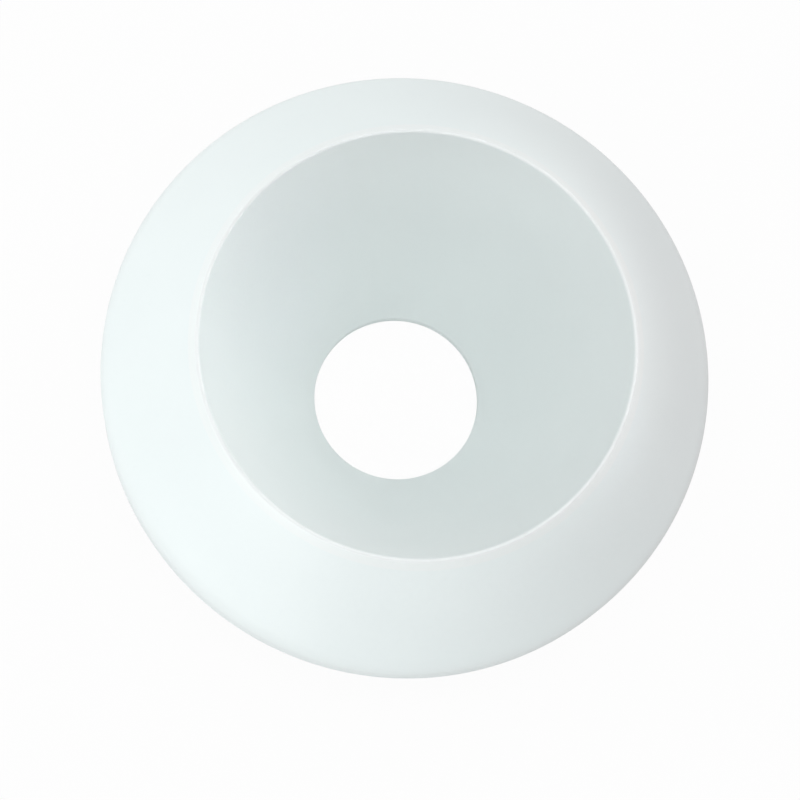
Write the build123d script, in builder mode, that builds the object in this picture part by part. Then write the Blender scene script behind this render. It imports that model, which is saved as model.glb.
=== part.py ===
from build123d import *
from math import cos, radians, sin, tan
import os

# Two-piece recessed escutcheon for a pendent fire sprinkler, moulded in white plastic.
# The cup is trapped between the sprinkler and its pipe fitting. The skirt slides on the
# cup's rear sleeve until it meets the ceiling, and friction holds it there.
# Origin: centre of the cup's back face, where the pipe fitting seats. +Z points into the room.
# Sections are drawn in the XZ plane as (radius, height) and revolved about Z.

# Skirt: the ring that covers the cut edge of the ceiling
skirt_radius = 38.5
skirt_wall = 1.4
ceiling_height = 15.0       # ceiling plane above the cup's back face, with the pieces nested
edge_height = 3.5           # upright band next to the ceiling
shoulder_radius = 6.0       # round between the upright band and the flank
flank_angle = 51.5          # slope of the flank, in degrees above the ceiling plane
edge_round = 0.3

# Cup: the dish that the sprinkler stands in
hole_radius = 10.9          # passes a half-inch sprinkler thread
hole_edge_round = 0.25
floor_thickness = 1.5       # length of the hole's wall
foot_width = 2.6            # flat ring round the hole on the back, against the fitting
dish_wall = 1.4
dish_bulge = 1.2            # how far the dish bows out from a straight cone

# Lip of the cup, seated on the skirt's upper edge. Its outer face runs on in line with the
# flank and meets the dish in the rim.
lip_overhang = 0.8          # past the sleeve's outer face, at the seat
rim_step = 0.4              # from the sleeve's outer face in to the rim, before its round
rim_round = 0.3

# Sliding fit between the two pieces
sleeve_radius = 26.8
sleeve_wall = 1.1
slide_clearance = 0.08      # radial running clearance of the collar on the sleeve
collar_wall = 1.2
collar_length = 9.0
collar_root_round = 0.8
slide_travel = 10.0
stop_clearance = 0.3        # left between the collar and the snap bead at full travel

# Snap fingers at the rear end of the sleeve
finger_count = 6
finger_slot_width = 2.0
finger_slot_length = 8.0
bead_height = 0.45
bead_length = 2.0
bead_crest = 0.8            # straight part of the bead, before its lead-in ramp

# Gussets that stiffen the skirt behind its flank
gusset_count = 8
gusset_thickness = 1.0
gusset_drop = 6.0           # from the skirt's upper edge down to the gusset's lower edge
gusset_root = 0.4           # how far a gusset runs into the walls that it joins

# Skirt's outer shape: where the shoulder ends and the straight flank begins
shoulder_turn = 90 - flank_angle
flank_rise = tan(radians(flank_angle))
flank_foot_radius = skirt_radius - shoulder_radius * (1 - cos(radians(shoulder_turn)))
shoulder_top = ceiling_height + edge_height + shoulder_radius * sin(radians(shoulder_turn))

# The flank ends under the lip, which sets the height of the seat between the pieces
lip_radius = sleeve_radius + lip_overhang
seat_height = shoulder_top + (flank_foot_radius - lip_radius) * flank_rise
rim_radius = sleeve_radius - rim_step
rim_height = seat_height + (lip_radius - rim_radius) * flank_rise

# Skirt's inner shape follows the outer one at the wall's thickness
inner_shoulder_radius = shoulder_radius - skirt_wall
flank_wall_across = skirt_wall / sin(radians(flank_angle))
collar_inner_radius = sleeve_radius + slide_clearance
collar_outer_radius = collar_inner_radius + collar_wall
collar_end = seat_height - collar_length
collar_root = seat_height + (lip_radius - flank_wall_across - collar_outer_radius) * flank_rise

# Cup's sleeve and snap bead
sleeve_inner_radius = sleeve_radius - sleeve_wall
bead_radius = sleeve_radius + bead_height
bead_top = collar_end - slide_travel - stop_clearance
sleeve_end = bead_top - bead_length
foot_radius = hole_radius + foot_width

# ---- skirt: outer ring with its flank, its shoulder and the collar behind its upper edge ----
with BuildPart() as skirt:
    with BuildSketch(Plane.XZ) as skirt_section:
        with BuildLine():
            edge_band = Line(
                (skirt_radius, ceiling_height),
                (skirt_radius, ceiling_height + edge_height),
            )
            shoulder = JernArc(edge_band @ 1, (0, 1), shoulder_radius, shoulder_turn)
            Polyline(
                shoulder @ 1,
                (lip_radius, seat_height),
                (collar_inner_radius, seat_height),
                (collar_inner_radius, collar_end),
                (collar_outer_radius, collar_end),
                (collar_outer_radius, collar_root),
            )
            inner_band = Line(
                (skirt_radius - skirt_wall, ceiling_height),
                (skirt_radius - skirt_wall, ceiling_height + edge_height),
            )
            inner_shoulder = JernArc(
                inner_band @ 1, (0, 1), inner_shoulder_radius, shoulder_turn
            )
            Line(inner_shoulder @ 1, (collar_outer_radius, collar_root))
            Line(edge_band @ 0, inner_band @ 0)
        make_face()
        root_corner = skirt_section.vertices().sort_by_distance(
            (collar_outer_radius, collar_root)
        )[0]
        fillet(root_corner, collar_root_round)
        ceiling_corner = skirt_section.vertices().sort_by_distance(
            (skirt_radius, ceiling_height)
        )[0]
        fillet(ceiling_corner, edge_round)
    revolve(axis=Axis.Z)

    # thin triangular gussets tie the collar to the back of the flank
    gusset_foot = seat_height - gusset_drop
    gusset_inner = collar_outer_radius - gusset_root
    gusset_outer = (
        lip_radius + gusset_drop / flank_rise - flank_wall_across + gusset_root
    )
    with BuildSketch(Plane.XZ) as gusset_section:
        with BuildLine():
            Polyline(
                (gusset_inner, gusset_foot),
                (gusset_outer, gusset_foot),
                (gusset_inner, gusset_foot + (gusset_outer - gusset_inner) * flank_rise),
                close=True,
            )
        make_face()
    gusset = extrude(
        gusset_section.sketch, gusset_thickness / 2, both=True, mode=Mode.PRIVATE
    )
    with PolarLocations(0, gusset_count):
        add(gusset)
skirt.part.label = "skirt"

# ---- cup: dish with the sprinkler's hole, its lip, and the sleeve with snap fingers ----
with BuildPart() as cup:
    with BuildSketch(Plane.XZ) as cup_section:
        with BuildLine():
            dish_face = SagittaArc(
                (hole_radius, floor_thickness), (rim_radius, rim_height), -dish_bulge
            )
            Polyline(
                dish_face @ 1,
                (lip_radius, seat_height),
                (sleeve_radius, seat_height),
                (sleeve_radius, bead_top),
                (bead_radius, bead_top),
                (bead_radius, bead_top - bead_crest),
                (sleeve_radius, sleeve_end),
                (sleeve_inner_radius, sleeve_end),
                (foot_radius, 0),
                (hole_radius, 0),
                dish_face @ 0,
            )
        make_face()
        rim_corner = cup_section.vertices().sort_by(Axis.Y)[-1]
        fillet(rim_corner, rim_round)
        hole_corner = cup_section.vertices().sort_by_distance(
            (hole_radius, floor_thickness)
        )[0]
        fillet(hole_corner, hole_edge_round)
    revolve(axis=Axis.Z)

    # hollow behind the dish, which leaves the dish wall, the foot ring and the sleeve
    with BuildSketch(Plane.XZ) as hollow_section:
        with BuildLine():
            dish_centre = dish_face.arc_center
            grown = 1 + dish_wall / dish_face.radius
            dish_back = ThreePointArc(
                dish_centre + (dish_face @ 0 - dish_centre) * grown,
                dish_centre + (dish_face @ 0.5 - dish_centre) * grown,
                dish_centre + (dish_face @ 1 - dish_centre) * grown,
            )
            Polyline(
                dish_back @ 1,
                ((dish_back @ 1).X, -floor_thickness),
                ((dish_back @ 0).X, -floor_thickness),
                dish_back @ 0,
            )
        make_face()
        with Locations((foot_radius, -floor_thickness)):
            Rectangle(
                sleeve_inner_radius - foot_radius,
                rim_height + 2 * floor_thickness,
                align=(Align.MIN, Align.MIN),
                mode=Mode.INTERSECT,
            )
    revolve(axis=Axis.Z, mode=Mode.SUBTRACT)

    # slots with round roots part the sleeve's end into snap fingers
    slot_root = sleeve_end + finger_slot_length - finger_slot_width / 2
    slot_depth = 2 * (bead_radius - sleeve_inner_radius + dish_wall)
    with PolarLocations(sleeve_radius, finger_count, start_angle=180 / finger_count):
        with Locations((0, 0, sleeve_end)):
            Box(
                slot_depth,
                finger_slot_width,
                2 * (slot_root - sleeve_end),
                mode=Mode.SUBTRACT,
            )
        with Locations((0, 0, slot_root)):
            Cylinder(
                finger_slot_width / 2, slot_depth, rotation=(0, 90, 0), mode=Mode.SUBTRACT
            )
cup.part.label = "cup"

os.makedirs("parts", exist_ok=True)
export_step(skirt.part, "parts/skirt.step")
export_step(cup.part, "parts/cup.step")
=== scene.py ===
import math

import bmesh
import bpy
from mathutils import Matrix, Vector


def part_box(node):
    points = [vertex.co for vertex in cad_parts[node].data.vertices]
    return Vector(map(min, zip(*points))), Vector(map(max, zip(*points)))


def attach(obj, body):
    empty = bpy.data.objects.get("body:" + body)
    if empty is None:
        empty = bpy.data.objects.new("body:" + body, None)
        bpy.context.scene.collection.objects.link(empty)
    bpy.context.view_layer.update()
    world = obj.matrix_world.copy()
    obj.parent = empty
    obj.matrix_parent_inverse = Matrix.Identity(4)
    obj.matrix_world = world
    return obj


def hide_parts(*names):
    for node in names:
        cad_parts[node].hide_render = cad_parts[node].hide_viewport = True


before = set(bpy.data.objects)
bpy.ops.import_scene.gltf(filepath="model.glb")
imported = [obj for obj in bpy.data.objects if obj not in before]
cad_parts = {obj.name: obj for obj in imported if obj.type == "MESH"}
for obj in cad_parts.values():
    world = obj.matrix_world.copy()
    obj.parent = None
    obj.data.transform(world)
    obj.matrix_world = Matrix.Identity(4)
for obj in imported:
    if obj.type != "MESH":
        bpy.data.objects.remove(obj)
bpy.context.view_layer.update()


# Camera: a long lens that looks almost straight down into the cup, tipped a little so that the
# near side of the skirt shows wider than the far side.
ceiling_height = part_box("skirt")[0].z
camera_tilt = math.radians(12.9)
camera_swing = math.radians(-110.6)
camera_nod = math.radians(-0.5)
camera_pan = math.radians(0.1)
camera_distance = 0.334
camera_lens = 117.6
camera_aim = Vector((0.0, 0.0, ceiling_height))
sight = Vector((
    math.sin(camera_tilt) * math.cos(camera_swing),
    math.sin(camera_tilt) * math.sin(camera_swing),
    math.cos(camera_tilt),
))
rightwards = Vector((0, 1, 0)).cross(sight).normalized()
upwards = sight.cross(rightwards)
facing = Matrix((rightwards, upwards, sight)).transposed().to_4x4()
nod = Matrix.Rotation(camera_nod, 4, "X")
pan = Matrix.Rotation(camera_pan, 4, "Y")
standpoint = Matrix.Translation(camera_aim + sight * camera_distance)
camera_data = bpy.data.cameras.new("camera")
camera_data.sensor_width = 36
camera_data.lens = camera_lens
camera_data.clip_start = 0.01
camera = bpy.data.objects.new("camera", camera_data)
camera.matrix_world = standpoint @ facing @ nod @ pan
bpy.context.scene.collection.objects.link(camera)
bpy.context.scene.camera = camera


# Skirt: the sloped ring that lies against the ceiling and hides the ragged hole cut in it. It is
# one injection moulding in white ABS, with a collar behind its upper edge that slides on the cup,
# eight gussets behind its slope, a spark-eroded satin grain, and a free edge rubbed smoother by
# fingers. Its colour is painted a little darker towards that free edge, as painted shade.
skirt_low, skirt_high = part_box("skirt")
cup_low, cup_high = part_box("cup")
skirt_radius = skirt_high.x
seat_height = skirt_high.z
lip_radius = cup_high.x
flank_angle = math.radians(51.5)
flank_rise = math.tan(flank_angle)
skirt_wall = 0.0014
flank_wall_across = skirt_wall / math.sin(flank_angle)
shoulder_round = 0.006
edge_round = 0.0003
collar_inner_radius = 0.02688
collar_wall = 0.0012
collar_outer_radius = collar_inner_radius + collar_wall
collar_length = 0.009
collar_root_round = 0.0008
mould_break = 0.00012
gusset_count = 8
gusset_thickness = 0.001
gusset_drop = 0.006
gusset_sunk = 0.0004
steps_round = 360
sharp_from = math.radians(18)
# Width of the free edge band, which is rubbed smoother and also painted darker, as painted shade.
rubbed_and_shaded_edge_width = 0.0012
skirt_pale = (0.857, 0.927, 0.925, 1)
skirt_deep = (0.841, 0.912, 0.912, 1)
# Painted shade: the colour at the free edge, a little darker than the pale tone.
skirt_painted_edge_shade = (0.845, 0.913, 0.911, 1)
skirt_satin = 0.44
skirt_polish = 0.09
skirt_grain_depth = 0.000005
drift_size = 0.022
speck_size = 0.0007
speck_colour = (0.76, 0.84, 0.84, 1)
speck_strength = 0.12
satin_patch = 0.009
satin_variation = 0.03
scuff_length = 0.006
scuff_turn = (0.3, 0.2, 0.7)
scuff_stretch = (1, 14, 6)
scuff_shine = 0.05
sink_size = 0.011
sink_depth = 0.00002
grain_size = 0.00022


def outline(shape, corners):
    """Joins (radius, height) corners beside the Z axis by straight edges; gives the vertices."""
    made = [shape.verts.new((radius, 0, height)) for radius, height in corners]
    for first, second in zip(made, made[1:]):
        shape.edges.new((first, second))
    return made


def arc_from(shape, start, centre, end, steps):
    """Sweeps a vertex about a centre, towards a place on the same circle; gives the last vertex."""
    reach = start.co - centre
    swept = bmesh.ops.spin(
        shape,
        geom=[start],
        cent=centre,
        axis=reach.cross(end - centre),
        angle=reach.angle(end - centre),
        steps=steps,
    )
    return swept["geom_last"][0]


def round_corner(shape, corner, radius, steps):
    """Rounds a corner of an outline, with a holding vertex beside each end of the arc."""
    before, after = [edge.other_vert(corner) for edge in corner.link_edges]
    back = (before.co - corner.co).normalized()
    onwards = (after.co - corner.co).normalized()
    half_turn = (math.pi - back.angle(onwards)) / 2
    tangent = radius * math.tan(half_turn)
    holding = 2 * half_turn * radius / steps / 4
    centre = corner.co + (back + onwards).normalized() * radius / math.cos(half_turn)
    first_hold = shape.verts.new(corner.co + back * (tangent + holding))
    start = shape.verts.new(corner.co + back * tangent)
    end = arc_from(shape, start, centre, corner.co + onwards * tangent, steps)
    last_hold = shape.verts.new(corner.co + onwards * (tangent + holding))
    for pair in ((before, first_hold), (first_hold, start), (end, last_hold), (last_hold, after)):
        shape.edges.new(pair)
    bmesh.ops.delete(shape, geom=[corner], context="VERTS")


def lathe(shape):
    """Spins an outline about the Z axis into a closed ring."""
    bmesh.ops.spin(
        shape,
        geom=list(shape.verts) + list(shape.edges),
        cent=(0, 0, 0),
        axis=(0, 0, 1),
        angle=math.tau,
        steps=steps_round,
        use_merge=True,
    )
    bmesh.ops.recalc_face_normals(shape, faces=list(shape.faces))


def combine(shape, operation, other):
    """Joins another closed shape to a shape or cuts it out of it, and uses it up."""
    working = []
    for made in (shape, other):
        mesh = bpy.data.meshes.new("working")
        made.to_mesh(mesh)
        working.append(bpy.data.objects.new("working", mesh))
        bpy.context.scene.collection.objects.link(working[-1])
    joint = working[0].modifiers.new("joint", "BOOLEAN")
    joint.operation = operation
    joint.solver = "EXACT"
    joint.object = working[1]
    shape.clear()
    shape.from_object(working[0], bpy.context.evaluated_depsgraph_get())
    other.free()
    for made in working:
        mesh = made.data
        bpy.data.objects.remove(made)
        bpy.data.meshes.remove(mesh)


def finished(name, shape, plastic):
    """An object of a shape, shaded smooth except at its real edges."""
    for face in shape.faces:
        face.smooth = True
    for edge in shape.edges:
        edge.smooth = edge.is_manifold and edge.calc_face_angle() < sharp_from
    mesh = bpy.data.meshes.new(name)
    shape.to_mesh(mesh)
    shape.free()
    mesh.materials.append(plastic)
    piece = bpy.data.objects.new(name, mesh)
    bpy.context.scene.collection.objects.link(piece)
    return piece


def add_node(tree, kind, settings=None, sockets=None):
    """One shader node, with its settings made and its sockets set or linked, by name or number."""
    made = tree.nodes.new("ShaderNode" + kind)
    for setting, value in (settings or {}).items():
        setattr(made, setting, value)
    for socket, value in (sockets or {}).items():
        if isinstance(value, bpy.types.NodeSocket):
            tree.links.new(value, made.inputs[socket])
        else:
            made.inputs[socket].default_value = value
    return made


def reckon(tree, operation, first, second=0.0):
    """A Math node's result."""
    return add_node(tree, "Math", {"operation": operation}, {0: first, 1: second}).outputs[0]


def patches(tree, vector, size, detail):
    """Cloudy noise from 0 to 1, whose patches are about the given size in metres."""
    sockets = {"Vector": vector, "Scale": 1 / size, "Detail": detail}
    return add_node(tree, "TexNoise", sockets=sockets).outputs["Fac"]


def ramp(tree, value, start, end, low=0, high=1):
    """Carries a value from start..end over to low..high, smoothly, and holds it beyond them."""
    numbers = {"Value": value, "From Min": start, "From Max": end, "To Min": low, "To Max": high}
    return add_node(tree, "MapRange", {"interpolation_type": "SMOOTHSTEP"}, numbers).outputs[0]


def blend_colours(tree, share, first, second):
    """A colour between two others; a Mix node's colours go in at 6 and 7 and come out at 2."""
    mixed = add_node(tree, "Mix", {"data_type": "RGBA"}, {0: share, 6: first, 7: second})
    return mixed.outputs[2]


def radius_of(tree, place):
    """How far a point lies from the axis, in metres."""
    flat = add_node(tree, "VectorMath", {"operation": "MULTIPLY"}, {0: place, 1: (1, 1, 0)})
    length = add_node(tree, "VectorMath", {"operation": "LENGTH"}, {0: flat.outputs[0]})
    return length.outputs["Value"]


def moulded_plastic(name, pale, deep, painted_light_colour, grain_depth, satin, polish, wear_and_painted_light_share):
    """White moulded plastic; the share function tells how far, from 0 to 1, a point is rubbed
    smoother and how far its colour turns to the last colour given, which is painted light: lighter
    for a painted highlight, darker for painted shade.
    """
    material = bpy.data.materials.new(name)
    material.use_nodes = True
    tree = material.node_tree
    shader = tree.nodes["Principled BSDF"]
    place = add_node(tree, "TexCoord").outputs["Object"]
    wear_and_painted_light = wear_and_painted_light_share(tree, place)

    # The melt: broad drifts of tone, and specks of undispersed pigment.
    drift = ramp(tree, patches(tree, place, drift_size, detail=2), start=0.3, end=0.7)
    colour = blend_colours(tree, drift, deep, pale)
    speck = patches(tree, place, speck_size, detail=1)
    speck = ramp(tree, speck, start=0.66, end=0.8, high=speck_strength)
    colour = blend_colours(tree, speck, colour, speck_colour)
    # Painted light: towards the rubbed places the colour turns to the given band colour, which
    # paints a highlight on the cup's rim top and shade at the skirt's free edge.
    colour = blend_colours(tree, wear_and_painted_light, colour, painted_light_colour)
    tree.links.new(colour, shader.inputs["Base Color"])

    # The finish: satin that varies a little, hairline scuffs, and a rubbed edge.
    cloudy = patches(tree, place, satin_patch, detail=4)
    smoother = satin - satin_variation
    rougher = satin + satin_variation
    cloudy = ramp(tree, cloudy, start=0.3, end=0.7, low=smoother, high=rougher)
    stretch = {"Vector": place, "Rotation": scuff_turn, "Scale": scuff_stretch}
    stretched = add_node(tree, "Mapping", sockets=stretch).outputs[0]
    scuffs = patches(tree, stretched, scuff_length, detail=3)
    scuffs = ramp(tree, scuffs, start=0.68, end=0.74, high=-scuff_shine)
    polished = reckon(tree, "MULTIPLY", wear_and_painted_light, -polish)
    roughness = reckon(tree, "ADD", reckon(tree, "ADD", cloudy, scuffs), polished)
    tree.links.new(roughness, shader.inputs["Roughness"])

    # The grain: the tool's spark-eroded pits, on faces that sank a few microns as they cooled.
    sink = patches(tree, place, sink_size, detail=1)
    sunk = add_node(tree, "Bump", sockets={"Height": sink, "Distance": sink_depth}).outputs[0]
    grain = patches(tree, place, grain_size, detail=3)
    pits = {"Height": grain, "Distance": grain_depth, "Normal": sunk}
    tree.links.new(add_node(tree, "Bump", sockets=pits).outputs[0], shader.inputs["Normal"])
    return material


def rubbed_and_shaded_edge(tree, place):
    """How far a point lies into the skirt's free edge, next to the ceiling, which is rubbed
    smoother and painted darker as painted shade.
    """
    radius = radius_of(tree, place)
    return ramp(tree, radius, start=skirt_radius - rubbed_and_shaded_edge_width, end=skirt_radius)


skirt_plastic = moulded_plastic(
    "skirt_plastic",
    skirt_pale,
    skirt_deep,
    skirt_painted_edge_shade,
    skirt_grain_depth,
    skirt_satin,
    skirt_polish,
    rubbed_and_shaded_edge,
)

collar_end = seat_height - collar_length
collar_root = seat_height + (lip_radius - flank_wall_across - collar_outer_radius) * flank_rise
inner_radius = skirt_radius - skirt_wall
skirt_shape = bmesh.new()
corners = outline(skirt_shape, [
    (skirt_radius, skirt_low.z),
    (skirt_radius, seat_height - (skirt_radius - lip_radius) * flank_rise),
    (lip_radius, seat_height),
    (collar_inner_radius, seat_height),
    (collar_inner_radius, collar_end),
    (collar_outer_radius, collar_end),
    (collar_outer_radius, collar_root),
    (inner_radius, seat_height - (inner_radius - lip_radius + flank_wall_across) * flank_rise),
    (inner_radius, skirt_low.z),
])
skirt_shape.edges.new((corners[-1], corners[0]))
free_edge, shoulder = corners[:2]
collar_tip, collar_back, collar_foot, inner_shoulder, inner_edge = corners[4:]
round_corner(skirt_shape, free_edge, edge_round, steps=6)
round_corner(skirt_shape, shoulder, shoulder_round, steps=24)
round_corner(skirt_shape, collar_tip, mould_break, steps=6)
round_corner(skirt_shape, collar_back, mould_break, steps=6)
round_corner(skirt_shape, collar_foot, collar_root_round, steps=10)
round_corner(skirt_shape, inner_shoulder, shoulder_round - skirt_wall, steps=18)
round_corner(skirt_shape, inner_edge, mould_break, steps=6)
lathe(skirt_shape)

# A gusset is a small triangle from the collar to the slope, sunk a little into both.
gusset_foot = seat_height - gusset_drop
gusset_inner = collar_outer_radius - gusset_sunk
gusset_outer = lip_radius + gusset_drop / flank_rise - flank_wall_across + gusset_sunk
gussets = bmesh.new()
corners = outline(gussets, [
    (gusset_inner, gusset_foot),
    (gusset_outer, gusset_foot),
    (gusset_inner, gusset_foot + (gusset_outer - gusset_inner) * flank_rise),
])
gussets.faces.new(corners)
bmesh.ops.translate(gussets, verts=corners, vec=(0, -gusset_thickness / 2, 0))
thickened = bmesh.ops.extrude_face_region(gussets, geom=list(gussets.faces))
far_side = [made for made in thickened["geom"] if isinstance(made, bmesh.types.BMVert)]
bmesh.ops.translate(gussets, verts=far_side, vec=(0, gusset_thickness, 0))
bmesh.ops.recalc_face_normals(gussets, faces=list(gussets.faces))
bmesh.ops.bevel(
    gussets,
    geom=list(gussets.edges),
    affect="EDGES",
    offset=mould_break,
    segments=2,
    profile=0.5,
    material=-1,
)
bmesh.ops.spin(
    gussets,
    geom=list(gussets.verts) + list(gussets.edges) + list(gussets.faces),
    cent=(0, 0, 0),
    axis=(0, 0, 1),
    angle=math.tau * (gusset_count - 1) / gusset_count,
    steps=gusset_count - 1,
    use_duplicate=True,
)
combine(skirt_shape, "UNION", gussets)

skirt = finished("skirt_moulding", skirt_shape, skirt_plastic)
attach(skirt, "skirt")
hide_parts("skirt")


# Cup: the deep dish that the sprinkler stands in, whose sleeve slides inside the skirt's collar
# from the room side and ends in six snap fingers. It is moulded in the same white ABS, its bowl
# off a finer core, so it is a little smoother, and a fitter's wrench rubs the top of its rim
# smoother still. The top of the rim is also painted lighter in colour, as a painted highlight.
hole_radius = 0.0109
hole_round = 0.00025
floor_thickness = 0.0015
foot_width = 0.0026
foot_radius = hole_radius + foot_width
dish_wall = 0.0014
dish_bulge = 0.0012
sleeve_radius = 0.0268
sleeve_wall = 0.0011
sleeve_inner_radius = sleeve_radius - sleeve_wall
rim_step = 0.0004
rim_radius = sleeve_radius - rim_step
rim_height = seat_height + (lip_radius - rim_radius) * flank_rise
rim_round = 0.0003
slide_travel = 0.010
stop_clearance = 0.0003
bead_height = 0.00045
bead_radius = sleeve_radius + bead_height
bead_top = collar_end - slide_travel - stop_clearance
bead_crest = 0.0008
bead_length = 0.002
sleeve_end = bead_top - bead_length
finger_count = 6
finger_slot_width = 0.002
finger_slot_length = 0.008
finger_slot_depth = 0.004
# Height of the band at the rim top, which is rubbed smoother and also painted lighter, as a painted
# highlight.
rubbed_and_highlit_rim_height = 0.00028
cup_pale = (0.878, 0.929, 0.924, 1)
cup_deep = (0.862, 0.914, 0.910, 1)
# Painted highlight: the colour on the top of the rim, lighter than the cup's pale tone.
cup_painted_rim_highlight = (0.910, 0.950, 0.950, 1)
cup_satin = 0.40
cup_polish = 0.18
cup_grain_depth = 0.000003


def rubbed_and_highlit_rim(tree, place):
    """How far a point lies into the top of the rim, which is rubbed smoother and painted lighter as
    a painted highlight.
    """
    height = add_node(tree, "SeparateXYZ", sockets={0: place}).outputs["Z"]
    return ramp(tree, height, start=cup_high.z - rubbed_and_highlit_rim_height, end=cup_high.z)


cup_plastic = moulded_plastic(
    "cup_plastic",
    cup_pale,
    cup_deep,
    cup_painted_rim_highlight,
    cup_grain_depth,
    cup_satin,
    cup_polish,
    rubbed_and_highlit_rim,
)

# The dish is a shallow arc, swollen out from the straight line between its hole and its rim.
hole_corner = Vector((hole_radius, 0, floor_thickness))
rim_corner = Vector((rim_radius, 0, rim_height))
dish_chord = rim_corner - hole_corner
dish_radius = dish_chord.length ** 2 / (8 * dish_bulge) + dish_bulge / 2
towards_centre = Vector((-dish_chord.z, 0, dish_chord.x)).normalized()
dish_centre = (hole_corner + rim_corner) / 2 + towards_centre * (dish_radius - dish_bulge)


def dish_back(radius):
    """The place on the back of the dish's wall at a radius."""
    across = radius - dish_centre.x
    depth = math.sqrt((dish_radius + dish_wall) ** 2 - across ** 2)
    return Vector((radius, 0, dish_centre.z - depth))


cup_shape = bmesh.new()
hole_vertex = cup_shape.verts.new(hole_corner)
rim_vertex = arc_from(cup_shape, hole_vertex, dish_centre, rim_corner, steps=36)
sleeve = outline(cup_shape, [
    (lip_radius, seat_height),
    (sleeve_radius, seat_height),
    (sleeve_radius, bead_top),
    (bead_radius, bead_top),
    (bead_radius, bead_top - bead_crest),
    (sleeve_radius, sleeve_end),
    (sleeve_inner_radius, sleeve_end),
])
back_vertex = cup_shape.verts.new(dish_back(sleeve_inner_radius))
root_vertex = arc_from(cup_shape, back_vertex, dish_centre, dish_back(foot_radius), steps=30)
foot_outer, foot_inner = outline(
    cup_shape, [(foot_radius, cup_low.z), (hole_radius, cup_low.z)]
)
cup_shape.edges.new((rim_vertex, sleeve[0]))
cup_shape.edges.new((sleeve[-1], back_vertex))
cup_shape.edges.new((root_vertex, foot_outer))
cup_shape.edges.new((foot_inner, hole_vertex))
round_corner(cup_shape, hole_vertex, hole_round, steps=5)
round_corner(cup_shape, rim_vertex, rim_round, steps=10)
round_corner(cup_shape, foot_outer, mould_break, steps=6)
round_corner(cup_shape, foot_inner, mould_break, steps=6)
lathe(cup_shape)

# Slots with round roots part the end of the sleeve into the snap fingers.
slot_root = sleeve_end + finger_slot_length - finger_slot_width / 2
slot_start = sleeve_radius - finger_slot_depth / 2
slots = bmesh.new()
slot_side = slots.verts.new((slot_start, -finger_slot_width / 2, slot_root))
bmesh.ops.spin(
    slots,
    geom=[slot_side],
    cent=(slot_start, 0, slot_root),
    axis=(1, 0, 0),
    angle=-math.pi,
    steps=16,
)
open_end = [vertex for vertex in slots.verts if len(vertex.link_edges) == 1]
dropped = bmesh.ops.duplicate(slots, geom=open_end)
foot_end = list(dropped["geom"])
bmesh.ops.translate(slots, verts=foot_end, vec=(0, 0, -2 * (slot_root - sleeve_end)))
for upper, lower in zip(open_end, foot_end):
    slots.edges.new((upper, lower))
slots.edges.new(foot_end)
bmesh.ops.contextual_create(slots, geom=list(slots.edges))
thickened = bmesh.ops.extrude_face_region(slots, geom=list(slots.faces))
far_side = [made for made in thickened["geom"] if isinstance(made, bmesh.types.BMVert)]
bmesh.ops.translate(slots, verts=far_side, vec=(finger_slot_depth, 0, 0))
bmesh.ops.recalc_face_normals(slots, faces=list(slots.faces))
bmesh.ops.rotate(
    slots,
    verts=list(slots.verts),
    cent=(0, 0, 0),
    matrix=Matrix.Rotation(math.pi / finger_count, 3, "Z"),
)
bmesh.ops.spin(
    slots,
    geom=list(slots.verts) + list(slots.edges) + list(slots.faces),
    cent=(0, 0, 0),
    axis=(0, 0, 1),
    angle=math.tau * (finger_count - 1) / finger_count,
    steps=finger_count - 1,
    use_duplicate=True,
)
combine(cup_shape, "DIFFERENCE", slots)

cup = finished("cup_moulding", cup_shape, cup_plastic)
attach(cup, "cup")
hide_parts("cup")


# Floor: a wide sheet of matt white paper just under the part. From above it shows nearly white
# with the part's shadow left in it, and a look from below goes through it.
floor_size = 2.0
floor_gap = 0.0001
white_share = 0.955
paper_white = (0.85, 0.85, 0.85, 1)
floor_shape = bmesh.new()
bmesh.ops.create_grid(floor_shape, x_segments=1, y_segments=1, size=floor_size)
bmesh.ops.translate(floor_shape, verts=list(floor_shape.verts), vec=(0, 0, -floor_gap))
floor_mesh = bpy.data.meshes.new("floor")
floor_shape.to_mesh(floor_mesh)
floor_shape.free()
floor = bpy.data.objects.new("floor", floor_mesh)
bpy.context.scene.collection.objects.link(floor)
paper = bpy.data.materials.new("paper")
paper.use_nodes = True
paper_tree = paper.node_tree
paper_tree.nodes.clear()
seen = add_node(paper_tree, "LightPath").outputs["Is Camera Ray"]
whitened = reckon(paper_tree, "MULTIPLY", seen, white_share)
matt_paper = add_node(paper_tree, "BsdfDiffuse", sockets={"Color": paper_white})
white_paper = add_node(paper_tree, "Emission", sockets={"Strength": 1.0})
upper_side = add_node(
    paper_tree,
    "MixShader",
    sockets={0: whitened, 1: matt_paper.outputs[0], 2: white_paper.outputs[0]},
)
below = add_node(paper_tree, "NewGeometry").outputs["Backfacing"]
clear = add_node(paper_tree, "BsdfTransparent")
sheet = add_node(
    paper_tree,
    "MixShader",
    sockets={
        0: reckon(paper_tree, "MULTIPLY", seen, below),
        1: upper_side.outputs[0],
        2: clear.outputs[0],
    },
)
add_node(paper_tree, "OutputMaterial", sockets={"Surface": sheet.outputs[0]})
floor_mesh.materials.append(paper)


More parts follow.
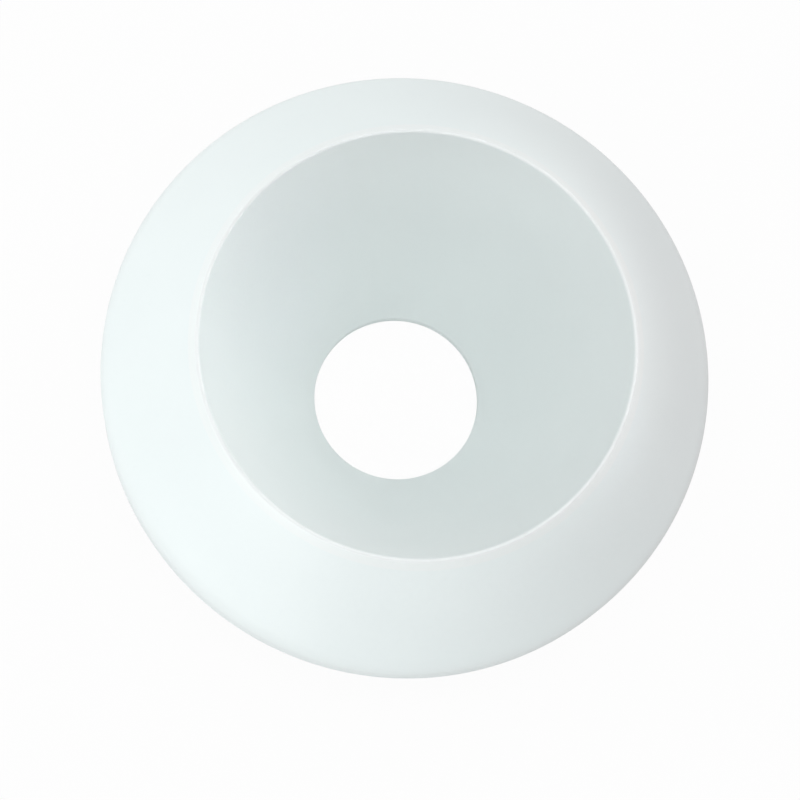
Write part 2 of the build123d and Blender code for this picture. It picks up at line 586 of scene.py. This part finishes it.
# Light: a white room, a little brighter on its window side and darker in one corner. Long low
# strips end just above the rim: two white ones on the window side, a faint warm one opposite. One
# lamp hangs overhead, one stands low in front, and small gridded ones light the cup's far wall.
room_level = 0.726
window_azimuth = 180
window_gain = 0.052
corner_azimuth = 318
corner_elevation = 10
corner_loss = 0.43
corner_sharpness = 4.0
strip_away = 0.6
strip_length = 0.5
strip_over_rim = 0.002
warm_tint = (1, 0.4, 0.44)
grid_azimuth = 10
grid_away = 0.3
grid_width = 0.05
grid_height = 0.03
grid_lift = 0.004
grid_spread = math.radians(7)
grid_powers = {8: 0.00041, 16: 0.00059, 26: 0.00023, 38: 0.00052, 50: 0.00032}


def direction_of(azimuth, elevation):
    """The unit vector towards a place in the room, from angles in degrees."""
    across = math.cos(math.radians(elevation))
    return Vector((
        math.cos(math.radians(azimuth)) * across,
        math.sin(math.radians(azimuth)) * across,
        math.sin(math.radians(elevation)),
    ))


def facing_of(tree, direction, side):
    """How squarely a direction faces a side of the room, from -1 to 1."""
    sockets = {0: direction, 1: side}
    return add_node(tree, "VectorMath", {"operation": "DOT_PRODUCT"}, sockets).outputs["Value"]


world = bpy.data.worlds.new("world")
world.use_nodes = True
room = world.node_tree
outwards = add_node(room, "TexCoord").outputs["Generated"]
window = facing_of(room, outwards, direction_of(window_azimuth, 0))
corner = facing_of(room, outwards, direction_of(corner_azimuth, corner_elevation))
corner = reckon(room, "POWER", reckon(room, "MAXIMUM", corner), corner_sharpness)
level = reckon(room, "ADD", reckon(room, "MULTIPLY", window, window_gain), room_level)
level = reckon(room, "SUBTRACT", level, reckon(room, "MULTIPLY", corner, corner_loss))
level = reckon(room, "MAXIMUM", level, add_node(room, "LightPath").outputs["Is Camera Ray"])
room.nodes["Background"].inputs["Color"].default_value = (1, 1, 1, 1)
room.links.new(level, room.nodes["Background"].inputs["Strength"])
bpy.context.scene.world = world
bpy.context.scene.view_settings.view_transform = "Standard"


def softbox(name, azimuth, elevation, away, width, height, power, aim):
    """A soft rectangular lamp that faces its aim from some way away, with its width level."""
    data = bpy.data.lights.new(name, "AREA")
    data.shape = "RECTANGLE"
    data.size = width
    data.size_y = height
    data.energy = power
    back = direction_of(azimuth, elevation)
    lamp = bpy.data.objects.new(name, data)
    lamp.location = aim + back * away
    lamp.rotation_euler = back.to_track_quat("Z", "Y").to_euler()
    bpy.context.scene.collection.objects.link(lamp)
    return data


def strip(name, azimuth, power):
    """A long lamp that rises from the floor to just above the rim."""
    top = rim_height + strip_over_rim
    middle = Vector((0, 0, top / 2))
    return softbox(name, azimuth, 0, strip_away, strip_length, top, power, middle)


strip("strip_rear", azimuth=135, power=0.67)
strip("strip_front", azimuth=225, power=0.86)
strip("strip_warm", azimuth=12, power=0.2).color = warm_tint

rim_centre = Vector((0, 0, rim_height))
softbox(
    "overhead",
    azimuth=0,
    elevation=90,
    away=0.9,
    width=0.2,
    height=0.2,
    power=1.19,
    aim=rim_centre,
)
softbox(
    "near_side",
    azimuth=270,
    elevation=15,
    away=0.7,
    width=0.35,
    height=0.15,
    power=0.18,
    aim=rim_centre,
)

# Each gridded lamp aims over the lip on its own side, and clears it by half the height of its
# beam, so that its light falls on the far wall alone.
for elevation, power in grid_powers.items():
    over_rim = direction_of(grid_azimuth, 0) * lip_radius
    half_beam = grid_height / 2 / math.cos(math.radians(elevation))
    over_rim.z = rim_height + grid_lift + half_beam
    gridded = softbox(
        f"gridded_{elevation}",
        grid_azimuth,
        elevation,
        grid_away,
        grid_width,
        grid_height,
        power,
        over_rim,
    )
    gridded.spread = grid_spread
